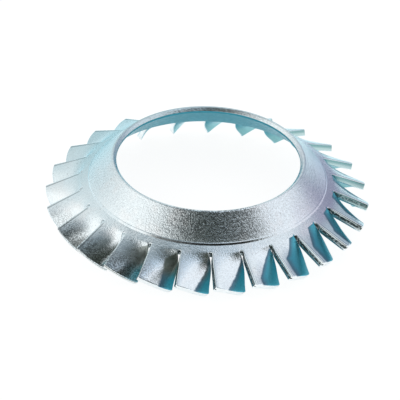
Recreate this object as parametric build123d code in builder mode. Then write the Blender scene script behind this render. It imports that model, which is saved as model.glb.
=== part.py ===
from build123d import *
import os
from math import cos, radians, sin, sqrt, tan

os.makedirs("parts", exist_ok=True)

# Serrated lock washer, dished to seat under an M12 countersunk head. Millimetres and degrees.
# The axis is Z, the small end is up, and the lowest tooth corners touch Z = 0.

# dished ring
hole_radius = 6.5          # clearance for the 12 mm shank
hole_land = 0.15           # height of the wall that the punch leaves square in the hole
rim_thickness = 0.38       # the sheet is drawn thinner towards the hole
rim_bevel = 0.08           # the rim's upper edge is broken by this much
sheet_thickness = 0.5
crease_radius = 8.47       # where the cone meets the flatter flange, on the upper face
cone_angle = 47.0          # below horizontal
flange_angle = 25.65       # below horizontal
flange_width = 0.5         # from the crease to the corners between the flats that carry the teeth

# slots and teeth
tooth_count = 26
slot_width = 0.25
slot_root_radius = 0.2     # the blind end of each slot
tip_radius = 11.5          # raised corners, from the axis
tooth_thickness = 0.46     # the teeth are coined slightly thinner than the sheet

# each tooth is a twisted blade: three lines leave its root at their own slope and skew,
# the raised cutting edge, the diagonal bend and the lowered trailing edge
raised_slope = 25.3
raised_skew = -0.5
bend_slope = 29.2
bend_skew = -15.9
bend_inset = 0.25          # the bend starts this far in from the trailing edge
lowered_slope = 55.1
lowered_skew = 10.4
lowered_setback = 0.91     # the lowered corner runs out this much less than the raised one
blade_slope = 32.0         # heading of the blade as a whole
blade_skew = 5.4
blade_spare = 0.4          # the blade is formed this much longer, then cut at its tip
tip_arc = 4.7              # radius of the tip's edge, through both corners
punch_lean = 35.5          # the tip is cut along this line, tilted from Z
punch_skew = 41.0

half_pitch = 180 / tooth_count


def heading(slope, skew):
    """Unit vector that dips by slope and turns by skew from the tooth's centre plane."""
    level = cos(radians(slope))
    return Vector(level * cos(radians(skew)), level * sin(radians(skew)), -sin(radians(slope)))


def along(start, slope, skew, run):
    """Point at a level run from start, on a line at a slope and skew."""
    return start + heading(slope, skew) * run / cos(radians(slope))


# ring section, as radius and height, with the upper crease at Z = 0
cone_normal = Vector(sin(radians(cone_angle)), cos(radians(cone_angle)))
flange_normal = Vector(sin(radians(flange_angle)), cos(radians(flange_angle)))
rim_radius = hole_radius + rim_thickness * cone_normal.X
rim_top = Vector(rim_radius, (crease_radius - rim_radius) * tan(radians(cone_angle)))
rim_inner = rim_top - cone_normal * rim_thickness
crease = Vector(crease_radius, 0)
under_step = (cone_normal + flange_normal) * sheet_thickness / (1 + cone_normal.dot(flange_normal))
crease_under = crease - under_step
flange_run = flange_width + sheet_thickness    # turned a little wide, then cut back to the flats
flange_end = crease + Vector(flange_run, -flange_run * tan(radians(flange_angle)))

# each tooth leaves the flange at a flat that stands square to it, and the slots run in between the flats
slot_radius = crease_radius + flange_width
slot_drop = flange_width * tan(radians(flange_angle))
flat = Plane((slot_radius * cos(radians(half_pitch)), 0, -slot_drop), z_dir=heading(flange_angle, 0))
slot_reach = slot_radius + sqrt(slot_root_radius**2 - (slot_width / 2) ** 2)
slot_end = Plane((slot_reach, 0, -slot_drop), z_dir=heading(flange_angle - 90, 0))

with BuildPart() as ring:
    with BuildSketch(Plane.XZ.rotated((0, 0, half_pitch))) as ring_section:
        with BuildLine():
            Polyline(
                rim_inner - Vector(0, hole_land),
                rim_inner,
                rim_top,
                crease,
                flange_end,
                flange_end - flange_normal * sheet_thickness,
                crease_under,
                close=True,
            )
        make_face()
        chamfer(ring_section.vertices().sort_by(Axis.Y)[-1], length=rim_bevel)
        fillet(ring_section.vertices().sort_by_distance(crease_under)[0], radius=sheet_thickness)
    revolve(axis=Axis.Z)
    for turn in PolarLocations(0, tooth_count):
        split(bisect_by=Plane(turn * flat.location), keep=Keep.BOTTOM)
    with PolarLocations(0, tooth_count, start_angle=half_pitch):
        with Locations(slot_end):
            Cylinder(slot_root_radius, 2 * flange_run, mode=Mode.SUBTRACT)

# one tooth, which grows from the flat on the +X side
root = ring.faces().sort_by(Axis.X)[-1]
root_line = root.edges().sort_by(Axis.Z)[-1]
raised_root, lowered_root = (corner.center() for corner in root_line.vertices().sort_by(Axis.Y))
bend_root = lowered_root - Vector(0, bend_inset, 0)
raised_run = sqrt(tip_radius**2 - raised_root.Y**2) - raised_root.X
raised_corner = along(raised_root, raised_slope, raised_skew, raised_run)
lowered_corner = along(lowered_root, lowered_slope, lowered_skew, raised_run - lowered_setback)
blade_heading = heading(blade_slope, blade_skew)
end_plane = Plane(raised_corner + blade_heading * blade_spare, x_dir=(0, 1, 0), z_dir=blade_heading)


def blade_end(start, slope, skew):
    """Where the line that leaves start at a slope and skew meets the end plane, in that plane."""
    line = heading(slope, skew)
    reach = (end_plane.origin - start).dot(blade_heading) / line.dot(blade_heading)
    return end_plane.to_local_coords(start + line * reach)


def below(direction):
    """Step of one tooth thickness, square to a direction in the end plane, towards the underside."""
    unit = direction.normalized()
    return Vector(unit.Y, -unit.X) * tooth_thickness


raised = blade_end(raised_root, raised_slope, raised_skew)
bend = blade_end(bend_root, bend_slope, bend_skew)
lowered = blade_end(lowered_root, lowered_slope, lowered_skew)
raised_step = below(bend - raised)
lowered_step = below(lowered - bend)
bend_step = (raised_step + lowered_step) / (1 + raised_step.dot(lowered_step) / tooth_thickness**2)
with BuildSketch(end_plane) as blade_section:
    with BuildLine():
        Bezier(raised, bend, lowered)
        Line(lowered, lowered + lowered_step)
        Bezier(lowered + lowered_step, bend + bend_step, raised + raised_step)
        Line(raised + raised_step, raised)
    make_face()

# the tip is cut by a round punch whose edge passes through both corners
tip_middle = (raised_corner + lowered_corner) / 2
punch_line = heading(punch_lean - 90, punch_skew)
punch_plane = Plane(tip_middle, x_dir=lowered_corner - raised_corner, z_dir=punch_line)
half_chord = abs(punch_plane.to_local_coords(lowered_corner).X)
punch_centre = (0, sqrt(tip_arc**2 - half_chord**2))

with BuildPart() as tooth:
    loft([root, blade_section.sketch.face()], ruled=True)
    with BuildSketch(punch_plane):
        with Locations(punch_centre):
            Circle(tip_arc)
    extrude(amount=tip_radius, both=True, mode=Mode.INTERSECT)

lowest = tooth.vertices().sort_by(Axis.Z)[0].Z

with BuildPart() as washer:
    with Locations((0, 0, -lowest)):
        add(ring.part)
        with PolarLocations(0, tooth_count):
            add(tooth.part)

washer.part.label = "washer"
export_step(washer.part, "parts/washer.step")
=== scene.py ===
"""Serrated lock washer in blue-passivated zinc, on a pale studio floor."""

import logging
import math
from dataclasses import dataclass, field
from enum import Enum
from functools import reduce

import bmesh
import bpy
from mathutils import Matrix, Vector


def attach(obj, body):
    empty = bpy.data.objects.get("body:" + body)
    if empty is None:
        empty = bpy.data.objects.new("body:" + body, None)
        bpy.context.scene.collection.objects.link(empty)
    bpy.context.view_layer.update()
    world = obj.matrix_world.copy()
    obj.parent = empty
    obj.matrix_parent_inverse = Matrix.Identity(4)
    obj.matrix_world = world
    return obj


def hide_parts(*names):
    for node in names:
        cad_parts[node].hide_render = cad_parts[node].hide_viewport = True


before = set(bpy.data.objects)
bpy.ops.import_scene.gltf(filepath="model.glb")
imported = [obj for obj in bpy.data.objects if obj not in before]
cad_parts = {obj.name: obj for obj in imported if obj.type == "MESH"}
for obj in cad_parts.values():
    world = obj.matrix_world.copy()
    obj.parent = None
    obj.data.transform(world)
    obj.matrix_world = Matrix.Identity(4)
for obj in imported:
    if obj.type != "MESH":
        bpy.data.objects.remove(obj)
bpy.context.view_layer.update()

MM = 0.001
TURN = 2 * math.pi
UP = Vector((0, 0, 1))
WELD = 0.0002 * MM          # points closer than this are one
BOW_SCALE = 27 / 4          # brings the greatest value of x(1 - x)^2, a third of the way along, to 1
NOISE_ROUGHNESS = 0.6       # of every noise pattern
Line = list[Vector]
Values = list[list[float]]                  # a mark's value at each point of a grid, row by row
Colour = tuple[float, float, float, float]
Range = tuple[float, float]                 # where a ramp or an area starts and ends
Span = tuple[float, float, float, float]    # where a ramp starts and ends, and what it gives there
Noise = tuple[float, float]                 # how many grains a metre, and how much finer detail
Socket = bpy.types.NodeSocket
Input = Socket | float | tuple[float, ...]
log = logging.getLogger("washer")


def heading(slope: float, skew: float) -> Vector:
    """Unit vector that dips and turns away from +X.

    Args:
        slope: the dip below horizontal, in degrees.
        skew: the turn towards +Y, in degrees.

    Returns:
        The vector.
    """
    level = math.cos(math.radians(slope))
    bearing = math.radians(skew)
    return Vector((level * math.cos(bearing), level * math.sin(bearing), -math.sin(math.radians(slope))))


def along(start: Vector, slope: float, skew: float, run: float) -> Vector:
    """Point at a level run from start, on a line at a slope and skew."""
    return start + heading(slope, skew) * run / math.cos(math.radians(slope))


def clamped(share: float) -> float:
    """The share kept between 0 and 1."""
    return min(1.0, max(0.0, share))


def eased(share: float) -> float:
    """Smooth step from 0 to 1 as the share goes from 0 to 1."""
    share = clamped(share)
    return share * share * (3 - 2 * share)


def evenly(divisions: int) -> list[float]:
    """Shares from 0 to 1 that divide a length evenly."""
    return [step / divisions for step in range(divisions + 1)]


def rows_between(first: Line, last: Line, divisions: int) -> list[Line]:
    """Rows that divide the way from one row to another, without these two."""
    return [[a.lerp(b, share) for a, b in zip(first, last)] for share in evenly(divisions)[1:-1]]


@dataclass(frozen=True)
class Corner:
    """One corner of an outline: its point, and the arc that rounds it."""

    point: Vector
    radius: float = 0.0
    steps: int = 1

    def arc(self, before: Vector, after: Vector) -> Line:
        """Points of the arc between the lines from before and to after.

        Args:
            before: the outline's point ahead of this corner.
            after: the outline's point past this corner.

        Returns:
            The arc's points, its two ends among them, or the bare corner where it has no radius.
        """
        if not self.radius:
            return [self.point]
        back, on = (before - self.point).normalized(), (after - self.point).normalized()
        half_angle = back.angle(on) / 2
        tangent = self.radius / math.tan(half_angle)
        centre = self.point + (back + on).normalized() * self.radius / math.sin(half_angle)
        start, end = self.point + back * tangent - centre, self.point + on * tangent - centre
        return [centre + start.slerp(end, share).normalized() * self.radius for share in evenly(self.steps)]


def rounded_line(corners: list[Corner], guard: float) -> Line:
    """Outline with its corners rounded, and a point on each side of every arc that keeps the flats flat.

    Args:
        corners: the outline's corners in order; the two end ones stay as they are.
        guard: distance from an arc's end to the point beside it.

    Returns:
        The outline's points.
    """
    line = [corners[0].point]
    for before, corner, after in zip(corners, corners[1:], corners[2:]):
        arc = corner.arc(before.point, after.point)
        ahead, past = before.point - arc[0], after.point - arc[-1]
        line += [arc[0] + ahead.normalized() * guard, *arc, arc[-1] + past.normalized() * guard]
    return line + [corners[-1].point]


class Mark(Enum):
    """What a point of the skin belongs to, kept as an attribute that the finishes read."""

    ACROSS = "across"    # from a tooth's raised edge, 0, to its lowered one, 1
    REACH = "reach"      # how far out on a tooth
    CUT = "cut"          # the sheared walls
    DEPTH = "depth"      # how far down a sheared wall
    INNER = "inner"      # the underside and the wall of the hole
    LIP = "lip"          # the rim's end and its inner edge
    CREASE = "crease"    # the fine step along the crease


class Skin:
    """Mesh made of grids of points whose shared edges are welded."""

    def __init__(self, name: str) -> None:
        """Starts an empty skin that keeps every mark as a layer of its own.

        Args:
            name: the skin's name.
        """
        self.name = name
        self.form = bmesh.new()
        self.layers = {mark: self.form.verts.layers.float.new(mark.value) for mark in Mark}

    def grid(self, rows: list[Line], marks: dict[Mark, Values]) -> None:
        """Adds a grid of four-sided faces.

        Args:
            rows: the grid's points, row by row, all rows as long.
            marks: for each mark, its value at each point of the grid; a mark left out is 0.
        """
        made = [[self.form.verts.new(point) for point in row] for row in rows]
        for mark, values in marks.items():
            layer = self.layers[mark]
            for row, row_values in zip(made, values):
                for vertex, value in zip(row, row_values):
                    vertex[layer] = value
        for near, far in zip(made, made[1:]):
            for side in range(len(near) - 1):
                self.form.faces.new((near[side], near[side + 1], far[side + 1], far[side]))

    def finished(self) -> bpy.types.Object:
        """Welds the grids.

        Returns:
            The skin, as an object that no scene shows.
        """
        bmesh.ops.remove_doubles(self.form, verts=self.form.verts, dist=WELD)
        bmesh.ops.recalc_face_normals(self.form, faces=self.form.faces)
        mesh = bpy.data.meshes.new(self.name)
        self.form.to_mesh(mesh)
        self.form.free()
        return bpy.data.objects.new(self.name, mesh)


@dataclass(frozen=True)
class RingSection:
    """Section of the dished ring, as radius and height above the crease."""

    tooth_count: int = 26
    hole_radius: float = 6.5 * MM
    hole_land: float = 0.15 * MM
    hole_round: float = 0.05 * MM
    rim_thickness: float = 0.38 * MM
    rim_round: float = 0.15 * MM
    sheet: float = 0.5 * MM
    crease_radius: float = 8.47 * MM
    crease_round: float = 0.05 * MM
    crease_height: float = 2.9342 * MM      # above the lowest tooth corners
    cone_angle: float = 47.0
    flange_angle: float = 25.65
    flange_width: float = 0.5 * MM
    ledge_width: float = 0.06 * MM          # the die leaves a fine step along the crease
    ledge_angle: float = 28.0
    riser_width: float = 0.15 * MM
    riser_angle: float = 57.0
    slot_width: float = 0.25 * MM
    slot_root_radius: float = 0.2 * MM
    slot_lean: float = 0.12 * MM            # the slot's end runs out by this much towards the underside
    guard: float = 0.02 * MM                # keeps the flats flat beside the rounded edges
    crease_steps: int = 3                   # divisions of each rounding
    fine_steps: int = 2
    rim_steps: int = 7
    hole_steps: int = 3
    under_steps: int = 6

    @property
    def half_pitch(self) -> float:
        """Half the angle from tooth to tooth, in radians."""
        return math.pi / self.tooth_count

    @property
    def flange_normal(self) -> Vector:
        """Square to the flange, at the middle of the tooth on the +X side."""
        return heading(self.flange_angle - 90, 0)

    def level(self, point: Vector, depth: float) -> Vector:
        """Lifts or lowers a point on to the flange.

        Args:
            point: the point, whose height doesn't matter.
            depth: how far under the flange's upper face it is put.

        Returns:
            The point over or under it on the flange.
        """
        slope = math.radians(self.flange_angle)
        fall = (math.hypot(point.x, point.y) - self.crease_radius) * math.tan(slope)
        return Vector((point.x, point.y, -fall - depth / math.cos(slope)))

    def on_riser(self, point: Vector) -> bool:
        """Whether a point of the section lies on the fine step along the crease."""
        head = self.crease_radius - self.riser_width * math.cos(math.radians(self.riser_angle))
        return head <= point.x <= self.crease_radius and point.z > -self.sheet / 2

    def outline(self) -> Line:
        """Draws the section in the XZ plane.

        Returns:
            Its points, from the flange beside the crease, over the rim, to the flange's underside.
        """
        cone_up = heading(self.cone_angle - 90, 0)
        crease = Vector((self.crease_radius, 0, 0))
        flange_out = heading(self.flange_angle, 0)
        flange_start = crease + flange_out * 2 * self.guard
        riser_top = crease - heading(self.riser_angle, 0) * self.riser_width
        ledge_top = riser_top - heading(self.ledge_angle, 0) * self.ledge_width
        rim_radius = self.hole_radius + self.rim_thickness * cone_up.x
        rise = (self.crease_radius - rim_radius) * math.tan(math.radians(self.cone_angle))
        rim_top = Vector((rim_radius, 0, rise))
        rim_inner = rim_top - cone_up * self.rim_thickness
        land_end = rim_inner - UP * self.hole_land
        under_step = (cone_up + self.flange_normal) * self.sheet / (1 + cone_up.dot(self.flange_normal))
        crease_under = crease - under_step
        fine = self.crease_round / 2
        return rounded_line(
            [
                Corner(flange_start),
                Corner(crease, self.crease_round, self.crease_steps),
                Corner(riser_top, fine, self.fine_steps),
                Corner(ledge_top, fine, self.fine_steps),
                Corner(rim_top, self.rim_round, self.rim_steps),
                Corner(rim_inner, self.hole_round, self.hole_steps),
                Corner(land_end, self.hole_round, self.hole_steps),
                Corner(crease_under, self.sheet, self.under_steps),
                Corner(crease_under + flange_out * self.sheet),
            ],
            self.guard,
        )

    def slot_arc(self, side: int, inset: float, depth: float, steps: int) -> Line:
        """Half the arc that ends a slot, from the tooth's root corner to the slot's centre plane.

        Args:
            side: 1 for the slot at the trailing edge, -1 for the one at the cutting edge.
            inset: how far into the metal the arc is moved.
            depth: how far under the upper face of the flange it lies.
            steps: number of divisions.

        Returns:
            The arc's points, from the root corner on.
        """
        outward = heading(0, side * math.degrees(self.half_pitch))
        across = Vector((outward.y, -outward.x, 0)) * side
        reach = math.sqrt(self.slot_root_radius**2 - (self.slot_width / 2) ** 2)
        start = self.crease_radius + self.flange_width + reach + self.slot_lean * depth / self.sheet
        centre = outward * (start - self.flange_normal.x * depth)
        widest = math.asin(self.slot_width / 2 / self.slot_root_radius)
        radius = self.slot_root_radius + inset
        arc = []
        for share in evenly(steps):
            swing = widest * (1 - share)
            point = centre + across * radius * math.sin(swing) - outward * radius * math.cos(swing)
            arc.append(self.level(point, depth))
        return arc


@dataclass(frozen=True)
class Blade:
    """One face of a tooth, upper or lower: its straight root line and the curve that it runs out to."""

    raised_root: Vector
    lowered_root: Vector
    raised_end: Vector
    bend_end: Vector
    lowered_end: Vector
    bend_pull: float

    def root(self, share: float) -> Vector:
        """Point of the root line, from the raised edge at 0 to the lowered one at 1."""
        return self.raised_root.lerp(self.lowered_root, share)

    def end(self, share: float) -> Vector:
        """Point of the curve on the end plane, which the bend pulls towards itself.

        Args:
            share: from the raised edge at 0 to the lowered one at 1.

        Returns:
            The point.
        """
        first, pull, last = (1 - share) ** 2, 2 * share * (1 - share) * self.bend_pull, share**2
        total = self.raised_end * first + self.bend_end * pull + self.lowered_end * last
        return total / (first + pull + last)


@dataclass(frozen=True)
class FaceGrid:
    """Points of one face of a tooth: its columns from the root out, and the sharp outline round them."""

    columns: list[Line]
    raised_edge: Line
    tip: Line
    lowered_edge: Line

    def across(self) -> Values:
        """How far across the face each point lies.

        Returns:
            The shares, column by column, from the raised edge at 0 to the lowered one at 1.
        """
        runs = [[0.0] * len(self.columns[0])]
        for near, far in zip(self.columns, self.columns[1:]):
            runs.append([run + (b - a).length for run, a, b in zip(runs[-1], near, far)])
        return [[run / whole for run, whole in zip(column, runs[-1])] for column in runs]


@dataclass(frozen=True)
class ToothForm:
    """The twisted tooth on the +X side: three lines leave its root at their own slope and skew."""

    ring: RingSection
    tip_radius: float = 11.5 * MM
    thickness: float = 0.46 * MM
    raised_slope: float = 25.3
    raised_skew: float = -0.5
    bend_slope: float = 29.2
    bend_skew: float = -13.0
    bend_inset: float = 0.25 * MM
    bend_pull: float = 1.3             # above 1, the bend is crisper than a plain curve
    root_crowding: float = 1.4         # above 1, the lines crowd towards the trailing corner at the root
    trailing_bow: float = 0.17 * MM    # the trailing edge bows out and down by this much
    wall_lean: float = 0.11 * MM       # the shear runs out under the raised edge by this much,
    lean_reach: float = 0.15           # in full from this share of the tooth's length on,
    lean_fade: int = 3                 # and less across the tooth, by this power
    lowered_slope: float = 55.1
    lowered_skew: float = 10.4
    lowered_setback: float = 0.91 * MM
    blade_slope: float = 32.0
    blade_skew: float = 5.4
    blade_spare: float = 0.4 * MM
    tip_arc: float = 4.7 * MM
    punch_lean: float = 35.5
    punch_skew: float = 41.0
    root_ease: float = 0.09 * MM       # length over which the blade turns out of the flange
    root_rows: tuple[float, ...] = (0.0, 0.06 * MM, 0.13 * MM, 0.22 * MM, 0.34 * MM)
    edge_round: float = 0.05 * MM
    guard: float = 0.05 * MM           # keeps the faces flat beside the rounded edges
    width_steps: int = 16
    length_steps: int = 12
    slot_steps: int = 4                # divisions of half a slot's end
    round_steps: int = 3

    @property
    def blade_heading(self) -> Vector:
        """The way the blade points as a whole."""
        return heading(self.blade_slope, self.blade_skew)

    @property
    def raised_run(self) -> float:
        """Level run of the raised edge, from its root to its corner."""
        corner = self.root(-1, 0.0)
        return math.sqrt(self.tip_radius**2 - corner.y**2) - corner.x

    @property
    def shares(self) -> list[tuple[float, float]]:
        """Where the lines along the blade run.

        They crowd towards the trailing corner at the root, so that the bend starts beside it.

        Returns:
            Each line's start and end, as shares of the root line and of the end curve.
        """
        width = (self.root(1, 0.0) - self.root(-1, 0.0)).length
        edge, inner = self.edge_round / width, (self.edge_round + self.guard) / width
        even = evenly(self.width_steps)
        crowded = [1 - (1 - share) ** self.root_crowding for share in even]
        starts, ends = ([inner + (1 - 2 * inner) * share for share in line] for line in (crowded, even))
        return [(edge, edge), *zip(starts, ends), (1 - edge, 1 - edge)]

    def root(self, side: int, depth: float) -> Vector:
        """The root's corner at the trailing (1) or cutting (-1) edge, at a depth under the upper face."""
        return self.ring.slot_arc(side, 0.0, depth, 1)[0]

    def upper(self) -> Blade:
        """Runs the blade's lines on to the end plane.

        Returns:
            The blade's upper face.
        """
        raised_root, lowered_root = self.root(-1, 0.0), self.root(1, 0.0)
        bend_root = lowered_root - Vector((0, self.bend_inset, 0))
        raised_corner = along(raised_root, self.raised_slope, self.raised_skew, self.raised_run)
        origin = raised_corner + self.blade_heading * self.blade_spare

        def end(start: Vector, slope: float, skew: float) -> Vector:
            """Where the line from a start at a slope and skew meets the end plane."""
            line = heading(slope, skew)
            return start + line * (origin - start).dot(self.blade_heading) / line.dot(self.blade_heading)

        return Blade(
            raised_root,
            lowered_root,
            end(raised_root, self.raised_slope, self.raised_skew),
            end(bend_root, self.bend_slope, self.bend_skew),
            end(lowered_root, self.lowered_slope, self.lowered_skew),
            self.bend_pull,
        )

    def lower(self, upper: Blade) -> Blade:
        """Steps down from the blade's upper face by one thickness.

        Args:
            upper: the upper face.

        Returns:
            The lower face.
        """
        sides = (upper.bend_end - upper.raised_end, upper.lowered_end - upper.bend_end)
        raised_step, lowered_step = (
            side.cross(self.blade_heading).normalized() * self.thickness for side in sides
        )
        share = 1 + raised_step.dot(lowered_step) / self.thickness**2
        return Blade(
            self.root(-1, self.ring.sheet),
            self.root(1, self.ring.sheet),
            upper.raised_end + raised_step,
            upper.bend_end + (raised_step + lowered_step) / share,
            upper.lowered_end + lowered_step,
            upper.bend_pull,
        )

    def trim(self, start: Vector, end: Vector, upper: Blade) -> Vector:
        """Where the round punch that cuts the tip meets a line along the blade.

        Args:
            start: the line's point at the root.
            end: the line's point on the end plane.
            upper: the upper face, whose two corners the punch passes through.

        Returns:
            The tip's point on that line.
        """
        raised = along(upper.raised_root, self.raised_slope, self.raised_skew, self.raised_run)
        lowered_run = self.raised_run - self.lowered_setback
        lowered = along(upper.lowered_root, self.lowered_slope, self.lowered_skew, lowered_run)
        axis = heading(self.punch_lean - 90, self.punch_skew)
        chord = lowered - raised
        chord -= axis * chord.dot(axis)
        inward = axis.cross(chord).normalized()
        centre = (raised + lowered) / 2 + inward * math.sqrt(self.tip_arc**2 - (chord.length / 2) ** 2)
        line, offset = end - start, start - centre
        line_flat, offset_flat = line - axis * line.dot(axis), offset - axis * offset.dot(axis)
        a, b = line_flat.length_squared, line_flat.dot(offset_flat)
        c = offset_flat.length_squared - self.tip_arc**2
        return start + line * (math.sqrt(b * b - a * c) - b) / a

    def lengthwise(self, root: Vector, tip: Vector, bow: float, lean: float) -> Line:
        """Points of one line along the blade, which leaves the root in the flange's plane.

        Args:
            root: the line's point at the root.
            tip: the line's point at the tip.
            bow: how far the line bows towards the trailing side, and down, a third of the way out.
            lean: how far its outer part stands towards the cutting side.

        Returns:
            The points from the root to just short of the tip.
        """
        length, straight = (tip - root).length, (tip - root).normalized()
        normal = self.ring.flange_normal
        lead = (straight - normal * straight.dot(normal)).normalized()
        eased_in, last = self.root_rows[-1], length - self.edge_round
        rest = last - self.guard - eased_in
        further = [eased_in + rest * share for share in evenly(self.length_steps)[1:]]

        def turned(distance: float) -> float:
            """How much of a distance has been run in the blade's own heading."""
            return distance - self.root_ease * (1 - math.exp(-distance / self.root_ease))

        points = []
        for distance in [*self.root_rows, *further, last]:
            share, reach = turned(distance) * length / turned(length), distance / length
            out = bow * BOW_SCALE * reach * (1 - reach) ** 2
            aside = Vector((0, out - lean * eased(reach / self.lean_reach), -out))
            points.append(root + lead * (distance - share) + straight * share + aside)
        return points

    def face(self, blade: Blade, upper: Blade) -> FaceGrid:
        """The grid of one face, with the sharp outline round it.

        Args:
            blade: the face.
            upper: the upper face, which places the punch.

        Returns:
            The face's points.
        """

        def ruling(start: float, end: float) -> tuple[Line, Vector]:
            """Draws one line along the blade.

            Args:
                start: where it leaves the root line, as a share.
                end: where it would meet the end plane, as a share of the curve there.

            Returns:
                The line's points, and its end on the punch.
            """
            root, tip = blade.root(start), self.trim(blade.root(start), blade.end(end), upper)
            lean = 0.0 if blade is upper else self.wall_lean * (1 - start) ** self.lean_fade
            line = self.lengthwise(root, tip, self.trailing_bow * start**2, lean)
            return line, tip - Vector((0, lean, 0))

        lines = [ruling(start, end) for start, end in self.shares]
        raised_edge, lowered_edge = ruling(0.0, 0.0)[0], ruling(1.0, 1.0)[0]
        return FaceGrid([line for line, _ in lines], raised_edge, [tip for _, tip in lines], lowered_edge)


@dataclass
class WasherSector:
    """One tooth with its share of the ring, ready to be repeated round the axis."""

    ring: RingSection = field(default_factory=RingSection)
    blend_rows: int = 3                   # divisions between the ring's section and the tooth's root
    wall_rows: int = 5                    # divisions of the sheared wall between its rounded edges
    lip_rows: tuple[int, int] = (2, 1)    # rows of the rim's lip, ahead of the hole's wall and on it

    def __post_init__(self) -> None:
        """Gives the tooth the ring that carries it."""
        self.tooth = ToothForm(self.ring)

    def root_row(self, face: FaceGrid, depth: float) -> Line:
        """The ring's outer row.

        Args:
            face: the face of the tooth that the row carries.
            depth: how far under the upper face it lies.

        Returns:
            The row's points: slot arc, tooth root, slot arc.
        """
        inset, steps = self.tooth.edge_round, self.tooth.slot_steps
        before = self.ring.slot_arc(-1, inset, depth, steps)
        after = self.ring.slot_arc(1, inset, depth, steps)
        return [*reversed(before[1:]), *(column[0] for column in face.columns), *after[1:]]

    def outline(self, face: FaceGrid, depth: float) -> tuple[Line, Line]:
        """The path round the tooth from one slot's centre plane to the other's.

        Args:
            face: the face's points.
            depth: how far under the upper face the face's root lies.

        Returns:
            The path on the face beside the edge, and the path on the sharp edge itself.
        """
        steps, insets = self.tooth.slot_steps, (self.tooth.edge_round, 0.0)
        inner_before, sharp_before = (self.ring.slot_arc(-1, by, depth, steps)[:0:-1] for by in insets)
        inner_after, sharp_after = (self.ring.slot_arc(1, by, depth, steps)[1:] for by in insets)
        first, last = face.columns[0], face.columns[-1]
        raised_corner = (face.raised_edge[-1] + face.tip[0]) / 2
        lowered_corner = (face.lowered_edge[-1] + face.tip[-1]) / 2
        inner = [*inner_before, *first, first[-1], *(column[-1] for column in face.columns)]
        inner += [last[-1], *reversed(last), *inner_after]
        sharp = [*sharp_before, *face.raised_edge, raised_corner, *face.tip]
        sharp += [lowered_corner, *reversed(face.lowered_edge), *sharp_after]
        return inner, sharp

    def wall(self, upper: tuple[Line, Line], lower: tuple[Line, Line]) -> list[Line]:
        """Rows of the sheared wall, with both of its edges rounded.

        Args:
            upper: the path on the upper face, and the sharp edge over it.
            lower: the same two paths on the lower face.

        Returns:
            The wall's rows from the upper face to the lower one.
        """

        def rounding(inner: Line, sharp: Line, opposite: Line) -> list[Line]:
            """Rows that round one edge, from the face on to the wall.

            Args:
                inner: the path on the face beside the edge.
                sharp: the path on the sharp edge.
                opposite: the path on the wall's other edge.

            Returns:
                The rows.
            """
            rows = []
            for share in evenly(self.tooth.round_steps):
                inward, downward = (1 - turn(math.pi / 2 * share) for turn in (math.sin, math.cos))
                row = []
                for beside, edge, across in zip(inner, sharp, opposite):
                    down = (across - edge).normalized() * self.tooth.edge_round
                    row.append(edge + (beside - edge) * inward + down * downward)
                rows.append(row)
            return rows

        top, bottom = rounding(*upper, lower[1]), rounding(*lower, upper[1])
        return [*top, *rows_between(top[-1], bottom[-1], self.wall_rows), *reversed(bottom)]

    def face_marks(self, face: FaceGrid, lower: bool) -> dict[Mark, Values]:
        """How far out and how far across each point of a face lies.

        Args:
            face: the face's points.
            lower: whether it is the lower face, which is marked as inner and keeps no place across.

        Returns:
            The values of each mark, column by column.
        """
        reach = []
        for column in face.columns:
            length = (column[-1] - column[0]).length
            reach.append([(point - column[0]).length / length for point in column])
        if not lower:
            return {Mark.REACH: reach, Mark.ACROSS: face.across()}
        return {Mark.REACH: reach, Mark.INNER: [[1.0] * len(column) for column in face.columns]}

    def wall_marks(self, wall: list[Line], face: FaceGrid) -> dict[Mark, Values]:
        """Marks the wall as cut, with its depth, and with the reach and the place across of the upper face.

        Args:
            wall: the wall's rows.
            face: the upper face's points.

        Returns:
            The values of each mark, row by row.
        """
        slot = self.tooth.slot_steps
        side = self.face_marks(face, False)[Mark.REACH][0]
        reach = [*[0.0] * slot, *side, *[1.0] * (len(face.tip) + 2), *reversed(side), *[0.0] * slot]
        ends = slot + len(side) + 1
        across = [*[0.0] * ends, *(column[-1] for column in face.across()), *[1.0] * ends]
        rows, last = range(len(wall)), len(wall) - 1
        first_flat, last_flat = self.tooth.round_steps, last - self.tooth.round_steps
        depths = [clamped((row - first_flat) / (last_flat - first_flat)) for row in rows]
        blank, whole = [0.0] * len(reach), [1.0] * len(reach)
        return {
            Mark.REACH: [reach for _ in rows],
            Mark.ACROSS: [across if row < last else blank for row in rows],
            Mark.CUT: [whole if first_flat <= row <= last_flat else blank for row in rows],
            Mark.DEPTH: [[depth] * len(reach) for depth in depths],
            Mark.INNER: [blank if row < last else whole for row in rows],
        }

    def ring_rows(self, upper: FaceGrid, lower: FaceGrid) -> tuple[list[Line], dict[Mark, list[float]]]:
        """Rows of the ring's share of the sector, from the upper root line over the rim to the lower one.

        Args:
            upper: the tooth's upper face.
            lower: the tooth's lower face.

        Returns:
            The rows, and the value of each mark, row by row.
        """
        top_row, bottom_row = self.root_row(upper, 0.0), self.root_row(lower, self.ring.sheet)
        section = self.ring.outline()
        bearings = [math.atan2(point.y, point.x) for point in top_row]
        rings = [[Matrix.Rotation(bearing, 3, "Z") @ point for bearing in bearings] for point in section]
        rows = [top_row, *rows_between(top_row, rings[0], self.blend_rows), *rings]
        rows += [*rows_between(rings[-1], bottom_row, self.blend_rows), bottom_row]
        hole = self.blend_rows + min(range(len(section)), key=lambda number: section[number].x)
        inner = [float(number >= hole) for number in range(len(rows))]
        lip = [float(-self.lip_rows[0] <= number - hole < self.lip_rows[1]) for number in range(len(rows))]
        riser = [float(self.ring.on_riser(point)) for point in section]
        around = [0.0] * self.blend_rows
        return rows, {Mark.INNER: inner, Mark.LIP: lip, Mark.CREASE: [*around, *riser, *around]}

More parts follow.
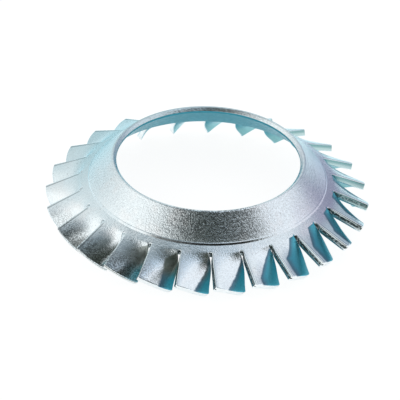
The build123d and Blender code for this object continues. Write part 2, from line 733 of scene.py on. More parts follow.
    def build(self) -> bpy.types.Object:
        """Builds the sector's skin.

        Returns:
            The skin, as an object that no scene shows.
        """
        tooth = self.tooth
        upper = tooth.upper()
        top, bottom = tooth.face(upper, upper), tooth.face(tooth.lower(upper), upper)
        skin = Skin("washer_sector")
        rows, by_row = self.ring_rows(top, bottom)
        slot = tooth.slot_steps
        across = [[0.0] * len(row) for row in rows]
        across[0] = [*[0.0] * slot, *(column[0] for column in top.across()), *[1.0] * slot]
        marks = {Mark.ACROSS: across}
        for mark, values in by_row.items():
            marks[mark] = [[value] * len(row) for value, row in zip(values, rows)]
        skin.grid(rows, marks)
        skin.grid(top.columns, self.face_marks(top, False))
        skin.grid(bottom.columns, self.face_marks(bottom, True))
        wall = self.wall(self.outline(top, 0.0), self.outline(bottom, self.ring.sheet))
        skin.grid(wall, self.wall_marks(wall, top))
        return skin.finished()


class TreeKit:
    """Short calls for filling a node tree."""

    def __init__(self, tree: bpy.types.NodeTree, material: bpy.types.Material | None = None) -> None:
        """Takes the tree to fill, and the material that it belongs to."""
        self.tree = tree
        self.material = material

    def node(
        self, kind: str, settings: dict[str, object] | None = None, **sockets: Input
    ) -> bpy.types.Node:
        """Adds a node.

        Args:
            kind: the node's type.
            settings: its properties.
            sockets: what goes into its inputs, as a value or as an output socket; an underscore stands
                for a blank in an input's name, and in0, in1 and so on count them.

        Returns:
            The new node.
        """
        node = self.tree.nodes.new(kind)
        for name, value in (settings or {}).items():
            setattr(node, name, value)
        for name, value in sockets.items():
            numbered = name.startswith("in") and name[2:].isdigit()
            socket = node.inputs[int(name[2:]) if numbered else name.replace("_", " ")]
            if isinstance(value, Socket):
                self.tree.links.new(value, socket)
            else:
                socket.default_value = value
        return node

    def math(self, operation: str, first: Input, second: Input = 0.0, third: Input = 0.0) -> Socket:
        """Adds a Math node and returns its value."""
        node = self.node("ShaderNodeMath", {"operation": operation}, in0=first, in1=second, in2=third)
        return node.outputs[0]

    def times(self, *factors: Input) -> Socket:
        """Product of two or more values."""
        return reduce(lambda first, second: self.math("MULTIPLY", first, second), factors)

    def plus(self, first: Input, second: Input) -> Socket:
        """Sum of two values."""
        return self.math("ADD", first, second)

    def less(self, first: Input, second: Input) -> Socket:
        """What is left of the first value without the second."""
        return self.math("SUBTRACT", first, second)

    def most(self, first: Input, second: Input) -> Socket:
        """The greater of two values."""
        return self.math("MAXIMUM", first, second)

    def line(self, value: Input, slope: Input, start: Input) -> Socket:
        """Value times slope, plus start."""
        return self.math("MULTIPLY_ADD", value, slope, start)

    def vector(self, operation: str, output: int, **sockets: Input) -> Socket:
        """Adds a Vector Math node and returns one of its outputs, the vector (0) or the value (1)."""
        return self.node("ShaderNodeVectorMath", {"operation": operation}, **sockets).outputs[output]

    def place(self) -> Socket:
        """Where a point lies in the object's own frame."""
        return self.node("ShaderNodeTexCoord").outputs["Object"]

    def level(self) -> Socket:
        """Way from the axis to a point, without its height."""
        return self.vector("MULTIPLY", 0, in0=self.place(), in1=(1.0, 1.0, 0.0))

    def bearing(self, axes: bpy.types.NodeOutputs) -> Socket:
        """Bearing round the axis of a place or a way, from -Y, in degrees."""
        return self.times(self.math("ARCTAN2", axes["X"], self.times(axes["Y"], -1.0)), 360 / TURN)

    def ramp(
        self,
        value: Input,
        low: Input,
        high: Input,
        start: Input = 0.0,
        end: Input = 1.0,
        kind: str = "SMOOTHSTEP",
    ) -> Socket:
        """Change from start to end as a value goes from low to high.

        Args:
            value: the value.
            low: where the change starts.
            high: where it ends.
            start: what is put out up to low.
            end: what is put out from high on.
            kind: SMOOTHSTEP or LINEAR.

        Returns:
            The changed value.
        """
        settings = {"interpolation_type": kind}
        node = self.node("ShaderNodeMapRange", settings, in0=value, in1=low, in2=high, in3=start, in4=end)
        return node.outputs[0]

    def ramps(self, value: Input, *spans: Span) -> Socket:
        """Product of the ramps of one value."""
        return self.times(*(self.ramp(value, *span) for span in spans))

    def blend(self, share: Input, first: Input, second: Input) -> Socket:
        """Mix of two colours."""
        node = self.node("ShaderNodeMix", {"data_type": "RGBA"}, in0=share, in6=first, in7=second)
        return node.outputs[2]

    def noise(self, place: Input, scale: Input, detail: float) -> Socket:
        """Value of a noise pattern at a place."""
        settings = {"Vector": place, "Scale": scale, "Detail": detail, "Roughness": NOISE_ROUGHNESS}
        return self.node("ShaderNodeTexNoise", **settings).outputs[0]

    def mark(self, mark: Mark) -> Socket:
        """Value of one of the skin's marks."""
        return self.node("ShaderNodeAttribute", {"attribute_name": mark.value}).outputs["Fac"]

    def group(self, tree: bpy.types.ShaderNodeTree, **sockets: Input) -> bpy.types.NodeOutputs:
        """Adds a shader node group and returns what it puts out."""
        return self.node("ShaderNodeGroup", {"node_tree": tree}, **sockets).outputs

    def relief(self, height: Input, depth: float) -> Socket:
        """Normal that follows a height from 0 to 1, as deep as given."""
        return self.node("ShaderNodeBump", Height=height, Strength=1.0, Distance=depth).outputs[0]

    def surface(self, shader: bpy.types.Node) -> bpy.types.Material:
        """Ends a material's tree with a shader, and returns the material."""
        self.node("ShaderNodeOutputMaterial", Surface=shader.outputs[0])
        return self.material


def material_kit(name: str) -> TreeKit:
    """Starts a new material.

    Args:
        name: the material's name.

    Returns:
        A kit that fills its tree.
    """
    material = bpy.data.materials.new(name)
    material.use_nodes = True
    material.node_tree.nodes.clear()
    return TreeKit(material.node_tree, material)


@dataclass(frozen=True)
class ToothPattern:
    """Repeats one sector round the axis, and lets each tooth stand a little higher or lower."""

    teeth: int
    lift: float = 0.05 * MM    # the most that a tooth's tip is raised
    seed: int = 7
    all_cut: float = 0.99      # a face takes the cut finish where its mark is above this

    def tree(self) -> bpy.types.GeometryNodeTree:
        """Builds the pattern's node tree.

        Returns:
            The tree, with its sizes as named inputs.
        """
        tree = bpy.data.node_groups.new("tooth_pattern", "GeometryNodeTree")
        for name, kind in (
            ("Geometry", "NodeSocketGeometry"),
            ("Sector", "NodeSocketObject"),
            ("Teeth", "NodeSocketInt"),
            ("Pitch", "NodeSocketFloat"),
            ("Weld", "NodeSocketFloat"),
            ("Lift", "NodeSocketFloat"),
            ("Seed", "NodeSocketInt"),
            ("Plating", "NodeSocketMaterial"),
            ("Cut Edge", "NodeSocketMaterial"),
        ):
            tree.interface.new_socket(name, in_out="INPUT", socket_type=kind)
        tree.interface.new_socket("Geometry", in_out="OUTPUT", socket_type="NodeSocketGeometry")
        kit = TreeKit(tree)

        def named(name: str, kind: str) -> Socket:
            """Value of a stored attribute."""
            return kit.node("GeometryNodeInputNamedAttribute", {"data_type": kind}, Name=name).outputs[0]

        given = kit.node("NodeGroupInput").outputs
        index = kit.node("GeometryNodeInputIndex").outputs[0]
        points = kit.node("GeometryNodePoints", Count=given["Teeth"]).outputs[0]
        sector = kit.node("GeometryNodeObjectInfo", Object=given["Sector"]).outputs["Geometry"]
        turn = kit.node("ShaderNodeCombineXYZ", Z=kit.times(index, given["Pitch"])).outputs[0]
        by_instance = {"data_type": "INT", "domain": "INSTANCE"}
        chance = {"ID": named("tooth", "INT"), "Seed": given["Seed"]}
        random = kit.node("FunctionNodeRandomValue", {"data_type": "FLOAT"}, **chance).outputs[1]
        raised = kit.times(random, given["Lift"], named(Mark.REACH.value, "FLOAT"))
        offset = kit.node("ShaderNodeCombineXYZ", Z=raised).outputs[0]
        shares = {"in0": named(Mark.CUT.value, "FLOAT"), "in1": self.all_cut}
        is_cut = kit.node("FunctionNodeCompare", {"data_type": "FLOAT"}, **shares).outputs[0]
        placed = {"Points": points, "Instance": sector, "Rotation": turn}
        shape = kit.node("GeometryNodeInstanceOnPoints", **placed).outputs[0]
        for step, settings, sockets in (
            ("StoreNamedAttribute", by_instance, {"Name": "tooth", "Value": index}),
            ("RealizeInstances", {}, {}),
            ("SetPosition", {}, {"Offset": offset}),
            ("MergeByDistance", {}, {"Distance": given["Weld"]}),
            ("SetShadeSmooth", {}, {}),
            ("SetMaterial", {}, {"Material": given["Plating"]}),
            ("SetMaterial", {}, {"Selection": is_cut, "Material": given["Cut Edge"]}),
        ):
            shape = kit.node("GeometryNode" + step, settings, Geometry=shape, **sockets).outputs[0]
        kit.node("NodeGroupOutput", Geometry=shape)
        return tree

    def build(
        self, sector: bpy.types.Object, plating: bpy.types.Material, cut: bpy.types.Material
    ) -> bpy.types.Object:
        """Makes the whole washer from its sector.

        Args:
            sector: one tooth with its share of the ring.
            plating: finish of the faces.
            cut: finish of the sheared walls.

        Returns:
            The washer as a plain mesh at the origin.
        """
        bpy.context.scene.collection.objects.link(sector)
        carrier = bpy.data.objects.new("pattern_carrier", bpy.data.meshes.new("pattern_carrier"))
        bpy.context.scene.collection.objects.link(carrier)
        modifier = carrier.modifiers.new("pattern", "NODES")
        modifier.node_group = self.tree()
        values = {
            "Sector": sector,
            "Teeth": self.teeth,
            "Pitch": TURN / self.teeth,
            "Weld": WELD,
            "Lift": self.lift,
            "Seed": self.seed,
            "Plating": plating,
            "Cut Edge": cut,
        }
        for item in modifier.node_group.interface.items_tree:
            if item.in_out == "INPUT" and item.name in values:
                modifier[item.identifier] = values[item.name]
        bpy.context.view_layer.update()
        evaluated = carrier.evaluated_get(bpy.context.evaluated_depsgraph_get())
        mesh = bpy.data.meshes.new_from_object(evaluated)
        for helper in (carrier, sector):
            bpy.data.objects.remove(helper)
        form = bmesh.new()
        form.from_mesh(mesh)
        bmesh.ops.recalc_face_normals(form, faces=form.faces)
        open_edges = sum(1 for edge in form.edges if not edge.is_manifold)
        form.to_mesh(mesh)
        form.free()
        mesh.name = "plated_washer"
        log.info("washer skin: %d faces, %d open edges", len(mesh.polygons), open_edges)
        return bpy.data.objects.new("plated_washer", mesh)


def shader_group(name: str, inputs: dict[str, str], outputs: dict[str, str]) -> TreeKit:
    """Starts a shader node group with its sockets.

    Args:
        name: the group's name.
        inputs: kind of each input, by name.
        outputs: kind of each output, by name.

    Returns:
        A kit that fills the group.
    """
    tree = bpy.data.node_groups.new(name, "ShaderNodeTree")
    for way, sockets in (("INPUT", inputs), ("OUTPUT", outputs)):
        for socket, kind in sockets.items():
            tree.interface.new_socket(socket, in_out=way, socket_type="NodeSocket" + kind)
    return TreeKit(tree)


@dataclass(frozen=True)
class GrainPattern:
    """Crystalline grain of the plating, calmer on the coined teeth.

    Each noise is given as a share of the grain's own scale, and its detail.
    """

    grain: Noise = (1.0, 2.0)
    pit: Noise = (0.45, 1.0)
    pit_share: float = 0.35
    mottle: Noise = (0.3, 2.0)
    fleck: Noise = (0.7, 3.0)
    fleck_span: Span = (0.42, 0.62, 0.0, 1.0)
    frost: Noise = (1.0, 0.0)
    frost_shade_span: Span = (0.40, 0.60, 0.0, 1.0)
    calm: Span = (0.0, 0.4, 1.0, 0.35)    # by how far out on a tooth

    def tree(self) -> bpy.types.ShaderNodeTree:
        """Builds the group.

        Returns:
            The group, which puts out the grain's height, a mottle, flecks and the frost grain that the
            colour paints as shade.
        """
        outputs = dict.fromkeys(("Height", "Mottle", "Fleck", "Frost"), "Float")
        kit = shader_group("plating_grain", {"Grains Per Metre": "Float"}, outputs)
        scale = kit.node("NodeGroupInput").outputs["Grains Per Metre"]
        place = kit.place()

        def grains(noise: Noise) -> Socket:
            """Noise at its share of the grain's scale."""
            share, detail = noise
            return kit.noise(place, kit.times(scale, share), detail)

        fine = kit.times(grains(self.grain), 1 - self.pit_share)
        height = kit.line(grains(self.pit), self.pit_share, fine)
        kit.node(
            "NodeGroupOutput",
            Height=kit.times(height, kit.ramp(kit.mark(Mark.REACH), *self.calm)),
            Mottle=grains(self.mottle),
            Fleck=kit.ramp(grains(self.fleck), *self.fleck_span),
            Frost=kit.ramp(grains(self.frost), *self.frost_shade_span),
        )
        return kit.tree


@dataclass(frozen=True)
class TintAndShadePattern:
    """Colour of the plating with painted light in it: the tint drifts round the ring and is painted darker
    on two sides, painted reflections pool on pressed-down sides, and painted shade darkens the edges.

    Bearings are round the axis from -Y, in degrees; reach and across are the marks of a tooth.
    """

    # painted reflections: pools beside the lowered edges
    pool_rise: Span = (-44.0, -22.0, 0.0, 1.0)          # by bearing
    pool_fall: Span = (75.0, 135.0, 1.0, 0.3)
    pool_width: Span = (-32.0, 32.0, 0.30, 0.92)        # share of the tooth's width at its tip, by bearing
    pool_narrow: Span = (45.0, 75.0, 1.0, 0.85)
    pool_start: Span = (8.0, 20.0, 0.22, 0.04)          # reach at which it starts, by bearing
    pool_early: Span = (26.0, 50.0, 0.0, -0.45)         # further round it starts before the root
    pool_full: Span = (10.0, 32.0, 1.0, 0.5)            # reach at which it is at its widest, by bearing
    band_width: Span = (-30.0, 8.0, 0.56, 0.10)         # a band of painted reflection runs on from it to the root, by bearing
    band_end: Span = (12.0, 24.0, 1.0, 0.0)
    band_start: Span = (0.0, 0.30, 0.0, 1.0)            # by reach
    dark_band_side: Span = (-8.0, 6.0, 1.0, 0.0)             # there the band is a darker painted reflection, by bearing
    dark_band_reach: Span = (0.5, 0.82, 1.0, 0.0)
    pool_least: Span = (0.0, 0.05, 0.0, 1.0)            # no pool where it would be narrower, by its width
    pool_edge: Span = (0.0, 0.08, 0.0, 1.0)             # by how far in from its border, across the tooth
    pool_rim: Span = (0.04, 0.34, 0.0, 1.0)
    pool_ragged: float = 0.10                           # how far the border strays, across the tooth
    ragged_grains: Noise = (2500.0, 2.0)

    # drift of the tint, partly painted shade
    lilac_side: Span = (7.0 * MM, 10.2 * MM, 0.0, 1.0)  # by X
    lilac_reach: Span = (0.0, 0.3, 1.0, 0.0)
    lilac_wander: float = 3.0 * MM
    wander_grains: Noise = (260.0, 1.0)
    far_way: tuple[float, float, float] = (-0.5, 0.85, 0.0)
    far_side: Span = (1.0 * MM, 10.5 * MM, 0.0, 1.0)    # by how far along that way
    far_reach: Range = (0.0, 0.45)                      # the tint fades out along the tooth, by reach,
    far_tips: Span = (6.0 * MM, 11.0 * MM, 0.15, 0.6)   # to this much of itself, by how far along that way
    iris_grains: Noise = (700.0, 2.0)                   # faint patches of another tint
    iris: Span = (0.45, 0.75, 0.0, 0.5)
    tip_reach: Span = (0.05, 0.7, 0.0, 1.0)             # the undersides of the tips are paler

    # painted shade: dark lines of the edges
    seam_shadow: tuple[Span, Span] = ((0.005, 0.02, 0.0, 0.75), (0.04, 0.07, 1.0, 0.0))        # by across
    seam_shadow_reach: Span = (0.02, 0.12, 0.0, 1.0)
    seam_shadow_sides: tuple[Span, Span] = ((-50.0, -36.0, 1.0, 0.15), (30.0, 50.0, 0.15, 0.7))    # by bearing
    lip_side: Span = (-5.0 * MM, 1.0 * MM, 0.1, 1.15)   # by how far towards -Y
    crease: tuple[Span, Span] = ((-34.0, -24.0, 0.0, 1.25), (14.0, 28.0, 1.0, 0.0))     # by bearing
    # how dark the painted shade of the edge lines is
    edge_shade: float = 0.62

    # pits, flecks and frost; the frost is grain, and painted shade at the front of the cone and on the tips
    # on the left
    pit_grains: Noise = (3600.0, 1.0)
    pit: Span = (0.68, 0.76, 0.0, 0.22)
    fleck_depth: float = 0.08
    frost: tuple[Span, Span] = ((-30.0, -14.0, 0.10, 0.56), (22.0, 32.0, 1.0, 0.2))     # by bearing
    frost_shade_level: Span = (8.0 * MM, 8.4 * MM, 1.0, 0.0)  # by radius
    frost_shade_tips: tuple[Span, Span] = ((-84.0, -66.0, 0.0, 1.0), (-28.0, -16.0, 1.0, 0.0))    # by bearing
    frost_shade_reach: Span = (0.35, 0.75, 0.0, 0.5)

    def pool(self, kit: TreeKit, bearing: Socket) -> tuple[Socket, Socket]:
        """Where the painted reflection pools: a slanted patch beside each lowered edge, and a band from it
        to the root.

        Args:
            kit: fills the group.
            bearing: a point's bearing.

        Returns:
            The mask, and how far a point lies in from the patch's rim.
        """
        reach = kit.mark(Mark.REACH)
        start = kit.plus(kit.ramp(bearing, *self.pool_start), kit.ramp(bearing, *self.pool_early))
        slant = kit.ramp(reach, start, kit.ramp(bearing, *self.pool_full), kind="LINEAR")
        patch = kit.times(kit.ramps(bearing, self.pool_width, self.pool_narrow), slant)
        band = kit.ramps(bearing, self.band_width, self.band_end)
        wide = kit.most(patch, kit.times(band, kit.ramp(reach, *self.band_start)))
        ragged = kit.less(kit.noise(kit.place(), *self.ragged_grains), 0.5)
        border = kit.line(ragged, self.pool_ragged, kit.less(1.0, wide))
        past = kit.less(kit.mark(Mark.ACROSS), border)
        here = kit.ramps(bearing, self.pool_rise, self.pool_fall)
        mask = kit.times(kit.ramp(past, *self.pool_edge), here, kit.ramp(wide, *self.pool_least))
        return mask, kit.ramp(past, *self.pool_rim)

    def edge_lines(self, kit: TreeKit, bearing: Socket) -> Socket:
        """Painted shade: dark lines beside the raised edges, round the rim and along the crease.

        Args:
            kit: fills the group.
            bearing: a point's bearing.

        Returns:
            The mask.
        """
        sides = kit.most(*(kit.ramp(bearing, *span) for span in self.seam_shadow_sides))
        seam_shadow = kit.times(kit.ramps(kit.mark(Mark.ACROSS), *self.seam_shadow), sides)
        seam_shadow = kit.times(seam_shadow, kit.ramp(kit.mark(Mark.REACH), *self.seam_shadow_reach))
        frontward = kit.vector("DOT_PRODUCT", 1, in0=kit.place(), in1=(0.0, -1.0, 0.0))
        lip = kit.times(kit.mark(Mark.LIP), kit.ramp(frontward, *self.lip_side))
        crease = kit.times(kit.mark(Mark.CREASE), kit.ramps(bearing, *self.crease))
        return kit.most(kit.most(seam_shadow, lip), crease)

    def shade(self, kit: TreeKit, bearing: Socket, given: bpy.types.NodeOutputs) -> Socket:
        """How bright each point is left by pits, flecks, the frost's painted shade and the painted shade of
        the edges' dark lines.

        Args:
            kit: fills the group.
            bearing: a point's bearing.
            given: the group's inputs.

        Returns:
            The factor.
        """
        radius = kit.vector("LENGTH", 1, in0=kit.level())
        # painted shade: the frost grain darkens the front of the cone and the tips on the left
        cone = kit.times(kit.ramps(bearing, *self.frost), kit.ramp(radius, *self.frost_shade_level))
        tips = kit.times(
            kit.ramps(bearing, *self.frost_shade_tips), kit.ramp(kit.mark(Mark.REACH), *self.frost_shade_reach)
        )
        frost_shaded = kit.times(kit.most(cone, tips), given["Frost"])
        flecked = kit.line(given["Fleck"], self.fleck_depth, 1 - self.fleck_depth)
        edged = kit.line(self.edge_lines(kit, bearing), -self.edge_shade, 1.0)
        pitted = kit.ramp(kit.noise(kit.place(), *self.pit_grains), *self.pit)
        return kit.times(flecked, edged, kit.less(1.0, frost_shaded), kit.less(1.0, pitted))

    def tree(self) -> bpy.types.ShaderNodeTree:
        """Builds the group.

        Returns:
            The group, which puts out the colour and the mask of the painted reflection pools.
        """
        tints = ("Pale", "Iris", "Far", "Drift", "Rim", "Deep", "Dull", "Inner", "Tip")
        inputs = dict.fromkeys(tints, "Color") | {"Fleck": "Float", "Frost": "Float"}
        kit = shader_group("passivation_colour", inputs, {"Color": "Color", "Pool": "Float"})
        given = kit.node("NodeGroupInput").outputs
        place, reach = kit.place(), kit.mark(Mark.REACH)
        axes = kit.node("ShaderNodeSeparateXYZ", Vector=place).outputs
        bearing = kit.bearing(axes)
        # partly painted shade: the tint turns lilac and darker on the +X side, and bluer and darker along
        # far_way
        wander = kit.line(kit.noise(place, *self.wander_grains), self.lilac_wander, axes["X"])
        lilac = kit.times(kit.ramp(wander, *self.lilac_side), kit.ramp(reach, *self.lilac_reach))
        far_run = kit.vector("DOT_PRODUCT", 1, in0=place, in1=self.far_way)
        faded = kit.ramp(reach, *self.far_reach, 1.0, kit.ramp(far_run, *self.far_tips))
        far = kit.times(kit.ramp(far_run, *self.far_side), faded)
        iris = kit.ramp(kit.noise(place, *self.iris_grains), *self.iris)
        base = kit.blend(iris, given["Pale"], given["Iris"])
        base = kit.blend(lilac, kit.blend(far, base, given["Far"]), given["Drift"])
        under = kit.blend(kit.ramp(reach, *self.tip_reach), given["Inner"], given["Tip"])
        washed = kit.blend(kit.mark(Mark.INNER), base, under)
        # painted reflections: teal pools with a dark rim beside the lowered edges, and a darker band on
        # some teeth
        pool, inside = self.pool(kit, bearing)
        dull = kit.times(kit.ramp(bearing, *self.dark_band_side), kit.ramp(reach, *self.dark_band_reach))
        pooled = kit.blend(dull, kit.blend(inside, given["Rim"], given["Deep"]), given["Dull"])
        tinted = kit.blend(pool, washed, pooled)
        shaded = kit.vector("SCALE", 0, in0=tinted, in3=self.shade(kit, bearing, given))
        kit.node("NodeGroupOutput", Color=shaded, Pool=pool)
        return kit.tree


class FinishGroups:
    """Shader node groups that the finishes share."""

    def __init__(self) -> None:
        """Builds each group once."""
        self.grain = GrainPattern().tree()
        self.colour = TintAndShadePattern().tree()


@dataclass(frozen=True)
class PlatedFinish:
    """Bright zinc with a blue passivation, whose colour carries painted reflections and painted shade."""

    pale: Colour = (0.87, 0.94, 0.98, 1.0)
    iris: Colour = (0.93, 0.92, 0.93, 1.0)
    # painted shade: bluer and darker along far_way
    far: Colour = (0.50, 0.66, 0.71, 1.0)
    # the plating's lilac hue, and painted shade: darker on the +X side
    drift: Colour = (0.63, 0.58, 0.71, 1.0)
    # painted reflections: the rim and the middle of the pools beside the lowered edges, and the darker band
    # on some teeth
    rim: Colour = (0.13, 0.22, 0.30, 1.0)
    deep: Colour = (0.10, 0.42, 0.53, 1.0)
    dull: Colour = (0.25, 0.28, 0.25, 1.0)
    # partly the teal of the plating and partly a painted reflection: the underside and the wall of the hole
    inner: Colour = (0.06, 0.31, 0.40, 1.0)
    tip: Colour = (0.30, 0.56, 0.58, 1.0)
    grazing: Colour = (0.66, 0.88, 0.93, 1.0)
    grains: float = 11000.0                      # a metre
    bump_depth: float = 0.030 * MM
    roughness: Span = (0.35, 0.65, 0.16, 0.24)   # by the grain's mottle
    pool_haze: float = 0.16                      # the painted reflection pools are that much rougher

    def material(self, groups: FinishGroups) -> bpy.types.Material:
        """Builds the finish.

        Args:
            groups: the shader node groups that it uses.

        Returns:
            The finish as a material.
        """
        kit = material_kit("blue_passivated_zinc")
        grain = kit.group(groups.grain, Grains_Per_Metre=self.grains)
        colour = kit.group(
            groups.colour,
            Pale=self.pale,
            Iris=self.iris,
            Far=self.far,
            Drift=self.drift,
            Rim=self.rim,
            Deep=self.deep,
            Dull=self.dull,
            Inner=self.inner,
            Tip=self.tip,
            Fleck=grain["Fleck"],
            Frost=grain["Frost"],
        )
        roughness = kit.line(colour["Pool"], self.pool_haze, kit.ramp(grain["Mottle"], *self.roughness))
        metal = kit.node(
            "ShaderNodeBsdfPrincipled",
            Metallic=1.0,
            Base_Color=colour["Color"],
            Roughness=roughness,
            Specular_Tint=self.grazing,
            Normal=kit.relief(grain["Height"], self.bump_depth),
        )
        return kit.surface(metal)


@dataclass(frozen=True)
class Flank:
    """One side of the washer, and how an effect comes in towards its middle."""

    bearing: float    # of the middle, round the axis from -Y, in degrees
    span: Span        # by how far a point lies towards the middle, from -1 to 1

    def share(self, kit: TreeKit) -> Socket:
        """How far the effect has come in.

        Args:
            kit: fills the material's node tree.

        Returns:
            The share at a point.
        """
        axis = (math.sin(math.radians(self.bearing)), -math.cos(math.radians(self.bearing)), 0.0)
        unit = kit.vector("NORMALIZE", 0, in0=kit.level())
        return kit.ramp(kit.vector("DOT_PRODUCT", 1, in0=unit, in1=axis), *self.span)


@dataclass(frozen=True)
class ShearedFinish:
    """Sheared wall: burnished under its upper edge, torn and dark below, and plated thin all over; the dark
    below is partly painted shade, and the slot ends carry a painted shadow.

    Depths are shares of the wall's height from its upper edge.
    """

    burnished: Colour = (0.93, 0.96, 0.97, 1.0)
    burnish_depth: Flank = Flank(75.0, (0.5, 0.9, 0.4, 0.22))    # painted shade: shallowest towards bearing 75, so the dark below reaches higher there
    tip_burnish: float = 0.34                         # the tips are burnished deeper by this much
    tip_ends: tuple[Span, Span] = ((0.0, 0.05, 1.0, 0.0), (0.95, 1.0, 0.0, 1.0))    # by across
    root_burnish: Span = (0.0, 0.45, 0.35, 1.0)       # by reach
    unevenness: float = 0.3
    burr_depth: float = 0.62                          # past this the lower edge is bright again
    burr_blur: float = 0.03
    # dark partly as torn metal and partly as painted shade
    torn_and_shade: Colour = (0.07, 0.09, 0.09, 1.0)
    speck: Colour = (0.60, 0.66, 0.66, 1.0)
    speckle: Span = (0.45, 0.9, 0.0, 1.0)             # by the grain's flecks
    torn_edge: Range = (-0.04, 0.04)                  # by depth past the burnished zone
    # painted shade: the dark torn band shows only towards bearing 32
    torn_shade_side: Flank = Flank(32.0, (0.44, 0.74, 0.0, 1.0))
    slot_end_shadow: Span = (0.06, 0.22, 1.0, 0.0)          # painted shadow: the ends of the slots are dark all over, by reach
    slot_end_shadow_side: Flank = Flank(12.0, (0.62, 0.85, 0.0, 1.0))
    # the walls towards bearing 120 are teal, darker near their upper edge
    teal_wall: Colour = (0.22, 0.40, 0.41, 1.0)
    teal_wall_foot: Colour = (0.50, 0.66, 0.66, 1.0)
    teal_wall_depth: Range = (0.2, 0.8)
    teal_wall_side: Flank = Flank(120.0, (0.55, 0.85, 0.0, 1.0))
    tip_line: Colour = (0.13, 0.13, 0.09, 1.0)         # a dark line under the edge of the tips on one side
    tip_line_side: Flank = Flank(-58.0, (0.82, 0.92, 0.0, 0.9))
    tip_line_depth: tuple[Span, Span] = ((0.02, 0.12, 0.0, 1.0), (0.38, 0.5, 1.0, 0.0))
    tip_line_reach: Range = (0.9, 1.0)
    grains: float = 9500.0                            # a metre
    bump_depth: float = 0.03 * MM
    roughness: Range = (0.22, 0.5)                    # where burnished, and where torn

    def tip_line_mask(self, kit: TreeKit, depth: Socket) -> Socket:
        """Where the tips darken: an uneven line close under their upper edge.

        Args:
            kit: fills the material's node tree.
            depth: how far down the wall a point lies, unevenly.

        Returns:
            The mask.
        """
        reach = kit.ramp(kit.mark(Mark.REACH), *self.tip_line_reach)
        return kit.times(kit.ramps(depth, *self.tip_line_depth), self.tip_line_side.share(kit), reach)

    def torn_and_shade_mask(self, kit: TreeKit, depth: Socket) -> Socket:
        """Where the wall is dark: an uneven band between the burnished zone and the lower edge, partly torn
        metal and partly painted shade, and the painted shadow in the slot ends.

        Args:
            kit: fills the material's node tree.
            depth: how far down the wall a point lies, unevenly.

        Returns:
            The mask.
        """
        reach = kit.mark(Mark.REACH)
        near_end = kit.most(*(kit.ramp(kit.mark(Mark.ACROSS), *span) for span in self.tip_ends))
        tip = kit.line(near_end, -self.tip_burnish, self.tip_burnish)
        burnish = kit.times(self.burnish_depth.share(kit), kit.ramp(reach, *self.root_burnish))
        torn_and_shade = kit.ramp(kit.less(depth, kit.plus(burnish, tip)), *self.torn_edge)
        burr = (self.burr_depth - self.burr_blur, self.burr_depth + self.burr_blur)
        torn_and_shade = kit.times(torn_and_shade, kit.ramp(depth, *burr, 1.0, 0.0), self.torn_shade_side.share(kit))
        root = kit.times(self.slot_end_shadow_side.share(kit), kit.ramp(reach, *self.slot_end_shadow))
        return kit.most(torn_and_shade, root)

    def material(self, groups: FinishGroups) -> bpy.types.Material:
        """Builds the finish.

        Args:
            groups: the shader node groups that it uses.

        Returns:
            The finish as a material.
        """
        kit = material_kit("sheared_edge")
        grain = kit.group(groups.grain, Grains_Per_Metre=self.grains)
        uneven = kit.line(grain["Mottle"], self.unevenness, -self.unevenness / 2)
        depth = kit.plus(kit.mark(Mark.DEPTH), uneven)
        # dark band, partly torn metal and partly painted shade, with the painted shadow in the slot ends
        torn_and_shade = self.torn_and_shade_mask(kit, depth)
        teal_wall = kit.blend(kit.ramp(kit.mark(Mark.DEPTH), *self.teal_wall_depth), self.teal_wall, self.teal_wall_foot)
        smooth_metal = kit.blend(self.teal_wall_side.share(kit), self.burnished, teal_wall)
        smooth_metal = kit.blend(self.tip_line_mask(kit, depth), smooth_metal, self.tip_line)
        rough_metal = kit.blend(kit.ramp(grain["Fleck"], *self.speckle), self.torn_and_shade, self.speck)
        metal = kit.node(
            "ShaderNodeBsdfPrincipled",
            Metallic=1.0,
            Base_Color=kit.blend(torn_and_shade, smooth_metal, rough_metal),
            Roughness=kit.ramp(torn_and_shade, 0.0, 1.0, *self.roughness),
            Normal=kit.relief(kit.times(grain["Height"], torn_and_shade), self.bump_depth),
        )
        return kit.surface(metal)


@dataclass(frozen=True)
class TentPatch:
    """One soft-edged area of the light tent, by bearing from the camera and height, in degrees."""

    colour: Colour
    bearings: Range
    heights: Range
    blurs: tuple[float, float, float, float]    # of the left, right, lower and upper edge

    def cover(self, kit: TreeKit, bearing: Socket, height: Socket) -> Socket:
        """How much of this patch is seen in a direction.

        Args:
            kit: fills the world's node tree.
            bearing: the direction's bearing from the camera.
            height: its height over the horizon.

        Returns:
            The patch's cover there, from 0 to 1.
        """
        middle, half = sum(self.bearings) / 2, (self.bearings[1] - self.bearings[0]) / 2
        off = kit.math("WRAP", kit.less(bearing, middle), 180.0, -180.0)
        edges = ((off, -half), (off, half), (height, self.heights[0]), (height, self.heights[1]))
        cover = []
        for (value, edge), blur, ends in zip(edges, self.blurs, ((0.0, 1.0), (1.0, 0.0)) * 2):
            cover.append(kit.ramp(value, edge - blur / 2, edge + blur / 2, *ends))
        return kit.times(*cover)


